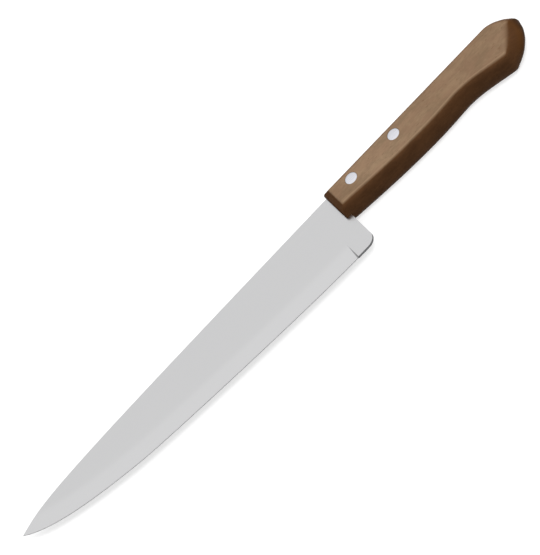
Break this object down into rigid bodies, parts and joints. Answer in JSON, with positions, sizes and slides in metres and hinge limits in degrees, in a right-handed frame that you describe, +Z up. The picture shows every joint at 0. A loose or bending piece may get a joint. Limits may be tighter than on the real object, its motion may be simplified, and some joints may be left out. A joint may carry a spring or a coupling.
{
  "type": "kitchen knife",
  "caption": "Long kitchen knife with a flat stamped steel blade, a bevelled curved edge and a chamfered wooden handle riveted to a short tang.",
  "frame": {"origin": "middle of the knife's box in plan, on the plane it lies on", "axes": "+X from the blade's tip to the butt of the handle, +Y from the cutting edge to the spine, +Z up through the thickness as the knife lies on its side"},
  "size_m": [0.3208, 0.0418, 0.0124],
  "materials": {
    "blade_steel": "satin stainless steel with fine lines along the blade",
    "handle_wood": "plain brown hardwood, lightly sealed",
    "rivet_aluminium": "ground flush, satin"
  },
  "bodies": {
    "root": {"blade": "blade_steel", "handle": "handle_wood", "front_rivet_pin": "rivet_aluminium", "front_rivet_sleeve": "rivet_aluminium", "rear_rivet_pin": "rivet_aluminium", "rear_rivet_sleeve": "rivet_aluminium"}
  },
  "joints": []
}
